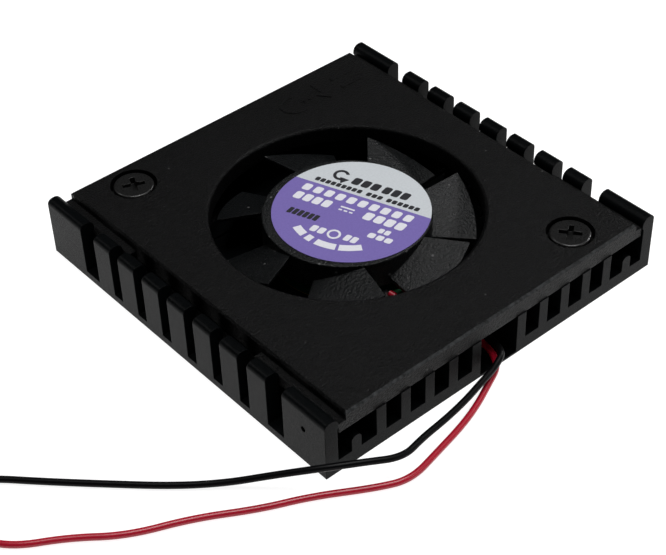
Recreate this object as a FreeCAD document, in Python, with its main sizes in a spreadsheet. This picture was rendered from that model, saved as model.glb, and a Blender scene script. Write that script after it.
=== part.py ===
"""Thin finned cooler with a fan set into its middle, under a screwed cover plate.

The frame: millimetres, +Z up, the origin on the underside of the base, on the fan's axis.
The fins run along Y. The side walls stand at -X and +X, and the leads leave at -Y.
"""

import FreeCAD
import Part
import math
import os
import Sketcher

V = FreeCAD.Vector
TURN = 360.0
doc = FreeCAD.newDocument("cooler")
sheet = doc.addObject("Spreadsheet::Sheet", "Sizes")

DIMENSIONS = [
    # the finned body
    ("body_wide", 45.0, "outside width across the walls, and length along the fins"),
    ("base_thick", 1.55, "base plate under the fins"),
    ("wall_thick", 1.5, "side walls"),
    ("wall_high", 6.95, "crest of the rounded bead along each wall"),
    ("fin_pitch", 3.12, "fin to fin"),
    ("fin_thick", 1.19, "each fin"),
    ("fin_top", 4.9, "top of the fins, where the cover plate lies"),
    ("stub_top", 3.3, "top of the short outermost fins"),
    ("slot_floor", 0.85, "floor of the saw cuts across the fins"),
    ("slot_thin", 1.5, "width of a narrow cut"),
    ("slot_wide", 2.42, "width of the cuts next to the end blocks"),
    ("slot_pitch", 4.2, "narrow cut to narrow cut"),
    ("slot_wide_at", 15.2, "middle of a wide cut"),
    ("pocket_radius", 15.6, "round pocket for the fan"),
    ("pocket_floor", 1.2, "floor of the fan's pocket and of the channel for the leads"),
    ("notch_reach", 4.0, "notch in the base where the leads leave, from the front"),
    ("notch_floor", 0.25, "floor of that notch"),
    ("boss_radius", 3.8, "boss that holds the bearing tube"),
    ("boss_top", 1.75, "top of that boss"),
    ("bore_floor", 0.5, "floor of the blind bore in the boss"),
    # the cover plate
    ("plate_half", 19.85, "half the width of the plate's upper part"),
    ("flange_half", 20.75, "half the width over the tongues at the plate's corners"),
    ("flange_top", 6.0, "top of the tongues"),
    ("flange_from", 10.2, "where the tongues start, from the middle"),
    ("plate_front", 22.4, "plate's reach towards the leads"),
    ("plate_back", 22.0, "plate's reach the other way"),
    ("plate_top", 6.88, "top of the plate"),
    ("plate_edge", 0.22, "bevel round the plate's top"),
    ("inlet_radius", 14.45, "air inlet in the plate"),
    ("inlet_lip", 0.35, "rounding of the inlet's upper edge"),
    ("screw_across", 14.04, "screws from the middle, half way between two fins"),
    ("screw_along", 18.6, "screws from the middle, along the fins"),
    ("seat_radius", 2.53, "counterbore for a screw's head"),
    ("seat_floor", 5.6, "floor of the counterbore"),
    ("hole_radius", 1.4, "clearance hole for a screw"),
    ("mark_high", 0.12, "height of the raised marks"),
    # the screws
    ("head_radius", 2.2, "screw's head"),
    ("head_high", 1.2, "height of the head"),
    ("head_round", 0.25, "rounding of the head's edge"),
    ("shank_radius", 1.25, "screw's thread, outside"),
    ("shank_end", 2.05, "height of the screw's tip"),
    ("cross_reach", 1.22, "half the length of the cross recess"),
    ("cross_thin", 0.56, "width of one arm of the cross"),
    ("cross_core", 0.48, "radius of the recess at its middle"),
    ("cross_deep", 0.8, "depth of the recess"),
    # the motor
    ("film_thick", 0.1, "insulating film under the circuit board"),
    ("board_thick", 0.5, "circuit board"),
    ("board_radius", 8.4, "circuit board"),
    ("tab_reach", 9.9, "the board's tab for the leads"),
    ("tab_half", 3.3, "half the width of that tab"),
    ("tube_radius", 2.5, "bearing tube, outside"),
    ("tube_bore", 2.0, "bearing tube, inside"),
    ("tube_top", 5.1, "top of the bearing tube"),
    ("pad_thick", 0.4, "thrust pad under the shaft"),
    ("bush_from", 1.8, "lower end of the sleeve bearing"),
    ("bush_to", 4.9, "upper end of the sleeve bearing"),
    ("shaft_radius", 0.75, "shaft"),
    ("shaft_play", 0.02, "radial clearance of the shaft in its bearing"),
    ("shaft_from", 0.95, "lower end of the shaft"),
    ("shaft_to", 6.0, "upper end of the shaft"),
    ("groove_radius", 0.58, "shaft at the clip's groove"),
    ("clip_radius", 1.35, "retaining clip, outside"),
    ("clip_from", 1.35, "underside of the clip"),
    ("clip_thick", 0.25, "clip"),
    ("slinger_radius", 1.7, "oil washer"),
    ("slinger_from", 5.0, "underside of the oil washer"),
    ("slinger_thick", 0.18, "oil washer"),
    ("core_from", 3.2, "underside of the stator's laminations"),
    ("lamination", 0.33, "one lamination"),
    ("core_ring", 3.5, "stator's inner ring, outside"),
    ("core_radius", 6.4, "stator's pole faces"),
    ("pole_thick", 0.75, "radial thickness of a pole's shoe"),
    ("pole_angle", 58.0, "angle covered by a pole's shoe"),
    ("arm_wide", 1.5, "arm of a pole"),
    ("former_thick", 0.25, "insulating former above and below the laminations"),
    ("wire_thick", 0.45, "winding, above and below"),
    ("wire_side", 0.8, "winding, at the sides"),
    ("wire_from", 3.65, "winding, inner end"),
    ("wire_to", 5.2, "winding, outer end"),
    # the rotor
    ("yoke_radius", 8.5, "steel cup, outside"),
    ("yoke_thick", 0.5, "steel cup"),
    ("yoke_from", 3.1, "lower edge of the steel cup"),
    ("yoke_top", 5.8, "top of the steel cup"),
    ("magnet_thick", 1.2, "magnet ring, radially"),
    ("magnet_from", 3.2, "lower edge of the magnet ring"),
    ("magnet_to", 5.15, "upper edge of the magnet ring"),
    ("insert_radius", 1.9, "brass insert between shaft and hub"),
    ("insert_from", 5.35, "lower end of the insert"),
    ("hub_radius", 9.0, "impeller's hub"),
    ("hub_top", 6.4, "top of the hub"),
    ("hub_edge", 0.2, "rounding of the hub's upper edge"),
    ("blade_tip", 13.62, "radius over the blades"),
    ("blade_top", 6.25, "height of the leading edges"),
    ("blade_low", 3.15, "lowest point of the trailing edges"),
    ("blade_rise", 0.5, "rise of the trailing edges from the tips to the hub"),
    ("blade_thick", 0.62, "blade"),
    ("label_radius", 8.42, "round label"),
    ("label_thick", 0.06, "round label"),
    ("label_x", 0.36, "label's middle, along X"),
    ("label_y", -0.3, "label's middle, along Y"),
    # the leads and what is on them
    ("lead_wide", 0.7, "outside diameter of a lead"),
    ("coil_x", -60.5, "middle of the coil of spare lead"),
    ("coil_y", 2.15, "middle of the coil of spare lead"),
    ("coil_middle", 3.85, "radius at the middle of the coil's turns"),
    ("coil_low", 0.25, "underside of the coil, on the tie"),
    ("coil_in", 60.0, "angle at which the leads join the coil"),
    ("coil_out", 180.0, "angle at which they leave it"),
    ("lower_turn", 0.62, "height of the turns on the ground"),
    ("upper_turn", 1.32, "height of the turns on top of them"),
    ("stub_black", 2.65, "straight run of the outer lead until it is clear of the turns"),
    ("stub_red", 3.5, "straight run of the inner lead until it is clear of the turns"),
    ("tie_thick", 0.2, "band of the tie"),
    ("tie_wide", 26.0, "angle covered by the tie"),
    ("tie_at", 300.0, "where the tie is"),
    ("plug_wide", 5.1, "plug, across its two ways"),
    ("plug_long", 12.0, "plug, along the leads"),
    ("plug_high", 2.6, "plug"),
    ("plug_pitch", 2.54, "way to way"),
    ("plug_back", -11.5, "back of the plug, along Y"),
    ("way_half", 0.42, "half the width of a way's mouth"),
    ("crimp_half", 0.62, "half the width of a terminal"),
    ("spring_half", 0.4, "half the width inside a terminal"),
]
FINS = range(-6, 7)
SCREW_TURNS = {-1: 65.0, 1: 36.0}
BLADE_TURN = 15.6
STRAND_GAP = 0.01
COIL_GAP = 0.05
NARROW_CUTS = (-2.5, -1.5, -0.5, 0.5, 1.5, 2.5)
POLES = 4
BLADES = 7
LAMINATIONS = 3


class Size:
    """A number together with the expression that gives it from the sheet."""

    def __init__(self, value, text):
        self.value = value
        self.text = text

    def __add__(self, other):
        other = size(other)
        return Size(self.value + other.value, f"({self.text} + {other.text})")

    def __sub__(self, other):
        other = size(other)
        return Size(self.value - other.value, f"({self.text} - {other.text})")

    def __mul__(self, other):
        other = size(other)
        return Size(self.value * other.value, f"({self.text} * {other.text})")

    def __truediv__(self, other):
        other = size(other)
        return Size(self.value / other.value, f"({self.text} / {other.text})")

    def __neg__(self):
        return Size(-self.value, f"(0 - {self.text})")

    def __float__(self):
        return float(self.value)


def size(number):
    """A plain number as a Size, or a Size as it is."""
    return number if isinstance(number, Size) else Size(float(number), f"{float(number):.6f}")


class Names:
    """The sheet's cells, each by its alias."""


def fill_sheet():
    for row, (alias, number, note) in enumerate(DIMENSIONS, start=1):
        sheet.set(f"A{row}", note)
        sheet.set(f"B{row}", str(number))
        sheet.setAlias(f"B{row}", alias)
        setattr(Names, alias, Size(number, f"Sizes.{alias}"))
    doc.recompute()


fill_sheet()
N = Names
half = N.body_wide / 2
wall_in = half - N.wall_thick
clear = 1.0  # how far a cut runs past the material
above = N.wall_high + clear


# ---------------------------------------------------------------- tools for bodies and sketches


def bind(thing, **values):
    """Bind properties of a thing to expressions of the sheet."""
    for name, number in values.items():
        thing.setExpression(name, size(number).text)
    return thing


def at(thing, x=0, y=0, z=0):
    """Bind a thing's place to expressions of the sheet."""
    for axis, number in (("x", x), ("y", y), ("z", z)):
        thing.setExpression(f"Placement.Base.{axis}", size(number).text)
    return thing


def body(name):
    made = doc.addObject("PartDesign::Body", name)
    made.Label = name
    return made


def sketch(owner, name, role="XY_Plane", offset=0.0):
    """An empty sketch on one of its body's own origin planes, moved along the plane's normal."""
    made = owner.newObject("Sketcher::SketchObject", name)
    plane = next(f for f in owner.Origin.OriginFeatures if f.Role == role)
    made.AttachmentSupport = (plane, [""])
    made.MapMode = "FlatFace"
    made.setExpression("AttachmentOffset.Base.z", size(offset).text)
    return made


def hold(target, kind, geometry, point, number):
    """Hold a point of a sketch at a distance from the sketch's origin."""
    number = size(number)
    row = target.addConstraint(Sketcher.Constraint(kind, -1, 1, geometry, point, number.value))
    target.setExpression(f"Constraints[{row}]", number.text)


def rectangle(target, x0, x1, y0, y1):
    """A rectangle whose sides are bound to the sheet."""
    low_x, high_x, low_y, high_y = (float(size(n)) for n in (x0, x1, y0, y1))
    corners = [V(low_x, low_y), V(high_x, low_y), V(high_x, high_y), V(low_x, high_y)]
    first = target.GeometryCount
    for i in range(4):
        target.addGeometry(Part.LineSegment(corners[i], corners[(i + 1) % 4]), False)
    for i in range(4):
        after = first + (i + 1) % 4
        target.addConstraint(Sketcher.Constraint("Coincident", first + i, 2, after, 1))
    for i in (0, 2):
        target.addConstraint(Sketcher.Constraint("Horizontal", first + i))
    for i in (1, 3):
        target.addConstraint(Sketcher.Constraint("Vertical", first + i))
    hold(target, "DistanceX", first, 1, x0)
    hold(target, "DistanceY", first, 1, y0)
    hold(target, "DistanceX", first + 2, 1, x1)
    hold(target, "DistanceY", first + 2, 1, y1)


def circle(target, x, y, radius):
    """A circle whose place and radius are bound to the sheet."""
    middle = V(float(size(x)), float(size(y)))
    row = target.addGeometry(Part.Circle(middle, V(0, 0, 1), float(size(radius))), False)
    hold(target, "DistanceX", row, 3, x)
    hold(target, "DistanceY", row, 3, y)
    fixed = target.addConstraint(Sketcher.Constraint("Radius", row, float(size(radius))))
    target.setExpression(f"Constraints[{fixed}]", size(radius).text)


def outline(target, points):
    """A closed outline through points. A point given with a third value is the middle of an arc."""
    count = len(points)
    i = 0
    while i < count:
        start = V(*points[i][:2])
        following = points[(i + 1) % count]
        if len(following) == 3:
            end = V(*points[(i + 2) % count][:2])
            target.addGeometry(Part.Arc(start, V(*following[:2]), end), False)
            i += 2
        else:
            target.addGeometry(Part.LineSegment(start, V(*following[:2])), False)
            i += 1


def pad(owner, profile, length, both_ways=False):
    made = owner.newObject("PartDesign::Pad", "Pad_" + profile.Name)
    made.Profile = profile
    if both_ways:
        made.SideType = "Symmetric"
    bind(made, Length=length)
    return made


def cut(owner, profile, length, both_ways=False, refine=True):
    """A pocket, which runs against the sketch's normal, or both ways."""
    doc.recompute()
    before = owner.Shape.Volume
    made = owner.newObject("PartDesign::Pocket", "Cut_" + profile.Name)
    made.Profile = profile
    made.Refine = refine
    if both_ways:
        made.SideType = "Symmetric"
    bind(made, Length=length)
    doc.recompute()
    if owner.Shape.Volume >= before:
        raise RuntimeError(f"{made.Name} cuts nothing")
    return made


def turn_profile(owner, profile, kind="PartDesign::Revolution"):
    """A full revolution, or groove, of a profile in the XZ plane about Z."""
    made = owner.newObject(kind, "Turned_" + profile.Name)
    made.Profile = profile
    made.ReferenceAxis = (profile, ["V_Axis"])
    made.Angle = TURN
    return made


def edges_where(owner, test):
    """The names of the edges of a body's last feature that pass a test."""
    doc.recompute()
    named = enumerate(owner.Tip.Shape.Edges, start=1)
    return [f"Edge{i}" for i, edge in named if test(edge)]


def dress(owner, kind, name, edges):
    """A fillet or a chamfer on named edges of a body's last feature."""
    last = owner.Tip
    made = owner.newObject(kind, name)
    made.Base = (last, edges)
    owner.Tip = made
    return made


# ---------------------------------------------------------------- tools for plain solids


def cylinder(name, radius, z0, z1, x=0, y=0):
    made = doc.addObject("Part::Cylinder", name)
    z0 = size(z0)
    bind(made, Radius=radius, Height=size(z1) - z0)
    return at(made, x, y, z0)


def box(name, x0, x1, y0, y1, z0, z1):
    made = doc.addObject("Part::Box", name)
    x0, y0, z0 = size(x0), size(y0), size(z0)
    bind(made, Length=size(x1) - x0, Width=size(y1) - y0, Height=size(z1) - z0)
    return at(made, x0, y0, z0)


def less(name, base, tool):
    made = doc.addObject("Part::Cut", name)
    made.Base = base
    made.Tool = tool
    return made


def joined(name, things):
    made = doc.addObject("Part::MultiFuse", name)
    made.Shapes = things
    return made


def group(name, things):
    made = doc.addObject("Part::Compound", name)
    made.Links = things
    return made


def ring(name, outer, inner, z0, z1, x=0, y=0):
    """A plain ring."""
    solid = cylinder(name + "_outside", outer, z0, z1, x, y)
    hole = cylinder(name + "_inside", inner, size(z0) - clear, size(z1) + clear, x, y)
    return less(name, solid, hole)


def turned(thing, degrees):
    """Turn a thing about Z through its own origin."""
    thing.Placement.Rotation = FreeCAD.Rotation(V(0, 0, 1), degrees)
    return thing


# ---------------------------------------------------------------- the finned body


def wall_outline(side):
    """A wall's section: a rounded bead along the top, hollow towards the cover plate."""
    low = N.base_thick.value - 0.3
    face = half.value
    inner = wall_in.value
    top = N.wall_high.value
    points = [
        (face, low),
        (face, top - 0.62),
        (face - 0.18, top - 0.18, "arc"),
        (face - 0.62, top),
        (face - 1.0, top),
        (face - 1.42, top - 0.22, "arc"),
        (face - 1.68, top - 0.72),
        (inner - 0.2, top - 0.98),
        (inner - 0.12, top - 1.25, "arc"),
        (inner, top - 1.4),
        (inner, low),
    ]
    return [(side * p[0], *p[1:]) for p in points]


def fin_at(number):
    return N.fin_pitch * number


def heatsink():
    made = body("heatsink")
    base = sketch(made, "Base")
    rectangle(base, -half, half, -half, half)
    pad(made, base, N.base_thick)

    walls = sketch(made, "Walls", "XZ_Plane")
    for side in (-1, 1):
        outline(walls, wall_outline(side))
    pad(made, walls, N.body_wide, both_ways=True)

    fins = sketch(made, "Fins", "XZ_Plane")
    for number in FINS[1:-1]:
        middle = fin_at(number)
        edge = N.fin_thick / 2
        rectangle(fins, middle - edge, middle + edge, N.base_thick - 0.3, N.fin_top)
    pad(made, fins, N.body_wide, both_ways=True)

    stubs = sketch(made, "Stubs", "XZ_Plane")
    for number in (FINS[0], FINS[-1]):
        left = (fin_at(number) - N.fin_thick / 2).value
        right = (fin_at(number) + N.fin_thick / 2).value
        low = N.base_thick.value - 0.3
        crown = N.stub_top.value
        shoulder = crown - 0.35
        middle = (left + right) / 2
        outline(
            stubs,
            [(left, low), (right, low), (right, shoulder), (middle, crown, "arc"), (left, shoulder)],
        )
    pad(made, stubs, N.body_wide, both_ways=True)

    cuts = sketch(made, "Cross_cuts", "YZ_Plane")
    for number in NARROW_CUTS:
        middle = N.slot_pitch * number
        rectangle(cuts, middle - N.slot_thin / 2, middle + N.slot_thin / 2, N.slot_floor, above)
    for side in (-1, 1):
        middle = N.slot_wide_at * side
        rectangle(cuts, middle - N.slot_wide / 2, middle + N.slot_wide / 2, N.slot_floor, above)
    cut(made, cuts, N.body_wide + 2 * clear, both_ways=True)

    pocket = sketch(made, "Fan_pocket", offset=above)
    circle(pocket, 0, 0, N.pocket_radius)
    cut(made, pocket, above - N.pocket_floor)

    channel_half = N.fin_pitch - N.fin_thick / 2
    channel = sketch(made, "Lead_channel", offset=above)
    rectangle(channel, -channel_half, channel_half, -half - clear, -half / 2)
    cut(made, channel, above - N.pocket_floor)

    notch = sketch(made, "Lead_notch", offset=above)
    rectangle(notch, -channel_half, channel_half, -half - clear, N.notch_reach - half)
    cut(made, notch, above - N.notch_floor)

    boss = sketch(made, "Boss", offset=N.pocket_floor - 0.2)
    circle(boss, 0, 0, N.boss_radius)
    pad(made, boss, N.boss_top - N.pocket_floor + 0.2)

    bore = sketch(made, "Tube_bore", offset=above)
    circle(bore, 0, 0, N.tube_radius)
    cut(made, bore, above - N.bore_floor)

    threads = sketch(made, "Screw_threads", offset=above)
    for side in (-1, 1):
        circle(threads, N.screw_across * side, N.screw_along * -side, N.shank_radius)
    cut(made, threads, above - N.base_thick)

    pit = sketch(made, "Drill_pit", "YZ_Plane", offset=-(half - 0.22))
    circle(pit, -19.4, 4.35, 0.32)
    cut(made, pit, clear)
    return made


# ---------------------------------------------------------------- the cover plate and its screws


def mark_wires(target):
    """Raised marks by the back edge: a turning arrow, an arrow for the air and two bars."""
    row_x, row_y = 7.9, 18.0
    reach, thin = 1.75, 0.42
    start, stop = math.radians(60), math.radians(350)
    middle = (start + stop) / 2

    def polar(radius, angle):
        return (row_x + radius * math.cos(angle), row_y + radius * math.sin(angle))

    outline(
        target,
        [
            polar(reach, start),
            (*polar(reach, middle), "arc"),
            polar(reach, stop),
            polar(reach + 0.5, stop - 0.05),
            polar(reach - thin / 2, stop + 0.6),
            polar(reach - thin - 0.5, stop - 0.05),
            polar(reach - thin, stop),
            (*polar(reach - thin, middle), "arc"),
            polar(reach - thin, start),
        ],
    )
    arrow_x = row_x + 4.1
    outline(
        target,
        [
            (arrow_x - 0.28, row_y + 1.75),
            (arrow_x - 0.28, row_y - 0.35),
            (arrow_x - 1.1, row_y - 0.35),
            (arrow_x, row_y - 1.75),
            (arrow_x + 1.1, row_y - 0.35),
            (arrow_x + 0.28, row_y - 0.35),
            (arrow_x + 0.28, row_y + 1.75),
        ],
    )
    for row in (-0.95, 0.95):
        rectangle(target, row_x + 6.3, row_x + 9.3, row_y + row - 0.28, row_y + row + 0.28)


def cover_plate():
    made = body("cover_plate")
    main = sketch(made, "Plate", offset=N.fin_top)
    rectangle(main, -N.plate_half, N.plate_half, -N.plate_front, N.plate_back)
    pad(made, main, N.plate_top - N.fin_top)

    tongues = sketch(made, "Tongues", offset=N.fin_top)
    for low_x, high_x in ((-N.flange_half, 0.6 - N.plate_half.value), (N.plate_half - 0.6, N.flange_half)):
        rectangle(tongues, low_x, high_x, -N.plate_front, -N.flange_from)
        rectangle(tongues, low_x, high_x, N.flange_from, N.plate_back)
    pad(made, tongues, N.flange_top - N.fin_top)

    inlet = sketch(made, "Inlet", offset=above)
    circle(inlet, 0, 0, N.inlet_radius)
    cut(made, inlet, above)

    top = N.plate_top.value
    rim = edges_where(made, lambda e: e.Closed and abs(e.CenterOfMass.z - top) < 0.01)
    bind(dress(made, "PartDesign::Fillet", "Inlet_lip", rim), Radius=N.inlet_lip)
    border = edges_where(
        made,
        lambda e: not e.Closed and e.Length > 30 and abs(e.BoundBox.ZMin - top) < 0.01,
    )
    bind(dress(made, "PartDesign::Chamfer", "Plate_bevel", border), Size=N.plate_edge)

    seats = sketch(made, "Screw_seats", offset=above)
    holes = sketch(made, "Screw_holes", offset=above)
    for side in (-1, 1):
        circle(seats, N.screw_across * side, N.screw_along * -side, N.seat_radius)
        circle(holes, N.screw_across * side, N.screw_along * -side, N.hole_radius)
    cut(made, seats, above - N.seat_floor)
    cut(made, holes, above)

    marks = sketch(made, "Raised_marks", offset=N.plate_top)
    mark_wires(marks)
    pad(made, marks, N.mark_high)
    return made


def screw(name, side):
    """A cross-recessed screw that taps into the gap between two fins."""
    made = body(name)
    seat = N.seat_floor.value
    crown = seat + N.head_high.value
    soft = N.head_round.value
    nick = soft * (1 - math.sqrt(0.5))
    head = N.head_radius.value
    shank = N.shank_radius.value
    tip = N.shank_end.value
    profile = sketch(made, name + "_profile", "XZ_Plane")
    outline(
        profile,
        [
            (0, tip),
            (shank * 0.55, tip),
            (shank, tip + 0.7),
            (shank, seat),
            (head, seat),
            (head, crown - soft),
            (head - nick, crown - nick, "arc"),
            (head - soft, crown),
            (0, crown),
        ],
    )
    turn_profile(made, profile)
    deep = above - crown + N.cross_deep
    for arm, (reach_x, reach_y) in enumerate(
        ((N.cross_reach, N.cross_thin / 2), (N.cross_thin / 2, N.cross_reach))
    ):
        cross = sketch(made, f"{name}_cross_{arm}", offset=above)
        rectangle(cross, -reach_x, reach_x, -reach_y, reach_y)
        cut(made, cross, deep)
    core = sketch(made, f"{name}_core", offset=above)
    circle(core, 0, 0, N.cross_core)
    cut(made, core, deep)
    made.Placement = FreeCAD.Placement(
        V(side * N.screw_across.value, -side * N.screw_along.value, 0),
        FreeCAD.Rotation(V(0, 0, 1), SCREW_TURNS[side]),
    )
    return made


# ---------------------------------------------------------------- the fixed half of the motor


def bearing():
    """The tube that is pressed into the boss, with the sleeve bearing and thrust pad inside."""
    ring("bearing_tube", N.tube_radius, N.tube_bore, N.bore_floor, N.tube_top)
    bore = N.shaft_radius + N.shaft_play
    ring("sleeve_bearing", N.tube_bore, bore, N.bush_from, N.bush_to)
    cylinder("thrust_pad", N.tube_bore, N.bore_floor, N.bore_floor + N.pad_thick)


def board():
    """The ring-shaped circuit board with a tab for the leads, its film and its parts."""
    film_top = N.pocket_floor + N.film_thick
    top = film_top + N.board_thick
    for name, z0, z1 in (
        ("insulating_film", N.pocket_floor, film_top),
        ("motor_board", film_top, top),
    ):
        disc = cylinder(name + "_disc", N.board_radius, z0, z1)
        tab = box(name + "_tab", -N.tab_half, N.tab_half - 1.2, -N.tab_reach, -N.boss_radius, z0, z1)
        hole = cylinder(name + "_hole", N.boss_radius, z0 - clear, z1 + clear)
        less(name, joined(name + "_whole", [disc, tab]), hole)

    chip = box("chip_case", -1.5, 1.5, 5.0, 7.2, top + 0.1, top + 0.8)
    feet = [
        box(f"chip_foot_{i}", x - 0.2, x + 0.2, y0, y1, top, top + 0.35)
        for i, (x, y0, y1) in enumerate(
            (x, y0, y1) for x in (-0.95, 0.0, 0.95) for y0, y1 in ((4.5, 5.0), (7.2, 7.7))
        )
    ]
    joined("hall_driver_chip", [chip, *feet])

    parts = []
    for i, (x, y, length, wide, high) in enumerate(
        ((4.6, 4.2, 1.6, 0.8, 0.45), (5.6, -3.4, 1.6, 0.8, 0.45), (-5.6, 3.2, 2.0, 1.2, 0.6))
    ):
        parts.append(box(f"part_{i}", x, x + length, y, y + wide, top, top + high))
    group("board_components", parts)

    places = [(-2.35, -8.55), (-0.35, -8.75), (-6.4, -1.4), (-6.4, 0.6), (-6.1, -3.3)]
    blobs = [
        cone(f"solder_{i}", 0.55, 0.22, top, top + 0.4, x, y) for i, (x, y) in enumerate(places)
    ]
    group("solder_joints", blobs)


def cone(name, low, high, z0, z1, x, y):
    made = doc.addObject("Part::Cone", name)
    bind(made, Radius1=low, Radius2=high, Height=size(z1) - z0)
    return at(made, x, y, z0)


def poled_plate(name, reach, arm, z0, z1):
    """A ring with four arms, each ending in a curved shoe."""
    hub = cylinder(name + "_ring", N.core_ring, z0, z1)
    arms = []
    shoes = []
    for i in range(POLES):
        degrees = (i + 0.5) * TURN / POLES
        spoke = box(f"{name}_arm_{i}", 0, reach - N.pole_thick / 2, -arm / 2, arm / 2, z0, z1)
        half_arm = (arm / 2).value
        spoke.setExpression("Placement.Base.x", None)
        spoke.setExpression("Placement.Base.y", None)
        spoke.Placement.Base = V(
            half_arm * math.sin(math.radians(degrees)),
            -half_arm * math.cos(math.radians(degrees)),
            spoke.Placement.Base.z,
        )
        arms.append(turned(spoke, degrees))
        shoe = cylinder(f"{name}_shoe_{i}", reach, z0, z1)
        bind(shoe, Angle=N.pole_angle)
        shoes.append(turned(shoe, degrees - N.pole_angle.value / 2))
    inside = cylinder(name + "_shoe_hole", reach - N.pole_thick, z0 - clear, z1 + clear)
    rim = less(name + "_shoes", joined(name + "_sectors", shoes), inside)
    whole = joined(name + "_whole", [hub, *arms, rim])
    hole = cylinder(name + "_hole", N.tube_radius, z0 - clear, z1 + clear)
    return less(name, whole, hole)


def stator():
    """Laminations between two insulating formers, and a winding on each of the four poles."""
    z0 = N.core_from
    plates = [
        poled_plate(
            f"lamination_{i}", N.core_radius, N.arm_wide, z0 + N.lamination * i, z0 + N.lamination * (i + 1)
        )
        for i in range(LAMINATIONS)
    ]
    group("stator_laminations", plates)
    core_to = z0 + N.lamination * LAMINATIONS
    reach = N.core_radius - 0.15
    poled_plate("lower_former", reach, N.arm_wide, z0 - N.former_thick, z0)
    poled_plate("upper_former", reach, N.arm_wide, core_to, core_to + N.former_thick)
    for i in range(POLES):
        winding(f"winding_{i + 1}", (i + 0.5) * TURN / POLES, core_to)


def winding(name, degrees, core_to):
    """Enamelled wire wound round one pole's arm, as one rounded block."""
    made = body(name)
    low = (N.core_from - N.former_thick).value
    high = (core_to + N.former_thick).value
    arm = N.arm_wide.value / 2
    wide = arm + N.wire_side.value
    deep = N.wire_thick.value
    corner = 0.35
    around = sketch(made, name + "_around", "YZ_Plane", offset=N.wire_from)
    nick = corner * (1 - math.sqrt(0.5))
    outline(
        around,
        [
            (wide - corner, low - deep),
            (wide - nick, low - deep + nick, "arc"),
            (wide, low - deep + corner),
            (wide, high + deep - corner),
            (wide - nick, high + deep - nick, "arc"),
            (wide - corner, high + deep),
            (corner - wide, high + deep),
            (nick - wide, high + deep - nick, "arc"),
            (-wide, high + deep - corner),
            (-wide, low - deep + corner),
            (nick - wide, low - deep + nick, "arc"),
            (corner - wide, low - deep),
        ],
    )
    outline(around, [(-arm, low), (-arm, high), (arm, high), (arm, low)])
    pad(made, around, N.wire_to - N.wire_from)
    turned(made, degrees)
    return made


# ---------------------------------------------------------------- the rotor


def rotor_parts():
    """The steel cup, its magnet, the shaft and what is on the shaft."""
    cup = cylinder("yoke_outside", N.yoke_radius, N.yoke_from, N.yoke_top)
    hollow = cylinder(
        "yoke_hollow", N.yoke_radius - N.yoke_thick, N.yoke_from - clear, N.yoke_top - N.yoke_thick
    )
    hole = cylinder("yoke_hole", N.insert_radius, N.yoke_from, N.yoke_top + clear)
    less("rotor_yoke", cup, joined("yoke_room", [hollow, hole]))
    magnet_out = N.yoke_radius - N.yoke_thick
    ring("magnet_ring", magnet_out, magnet_out - N.magnet_thick, N.magnet_from, N.magnet_to)
    ring("shaft_insert", N.insert_radius, N.shaft_radius, N.insert_from, N.shaft_to)
    clip_to = N.clip_from + N.clip_thick
    ring("retaining_clip", N.clip_radius, N.groove_radius, N.clip_from, clip_to)
    slinger_to = N.slinger_from + N.slinger_thick
    ring("oil_washer", N.slinger_radius, N.shaft_radius, N.slinger_from, slinger_to)
    label_to = N.hub_top + N.label_thick
    cylinder("hub_label", N.label_radius, N.hub_top, label_to, N.label_x, N.label_y)


def shaft():
    made = body("shaft")
    bar = N.shaft_radius.value
    low = N.shaft_from.value
    groove = N.groove_radius.value
    clip_low = N.clip_from.value
    clip_high = clip_low + N.clip_thick.value
    profile = sketch(made, "Shaft_profile", "XZ_Plane")
    outline(
        profile,
        [
            (0, low),
            (bar * 0.55, low + 0.07, "arc"),
            (bar, low + 0.3),
            (bar, clip_low),
            (groove, clip_low),
            (groove, clip_high),
            (bar, clip_high),
            (bar, N.shaft_to.value),
            (0, N.shaft_to.value),
        ],
    )
    turn_profile(made, profile)
    return made


def blade_section(target, lead, trail, low, sag):
    """A blade's section: high at its leading edge, hollow on top, thin at its trailing edge."""
    top = N.blade_top.value
    thick = N.blade_thick.value
    middle = (lead + trail) / 2
    height = (top + low + thick) / 2 - sag
    outline(
        target,
        [
            (lead, top - 0.12),
            (middle, height, "arc"),
            (trail, low + thick * 0.55),
            (trail, low),
            (middle - 0.15, height - thick, "arc"),
            (lead - 0.1, top - thick),
        ],
    )


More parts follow.
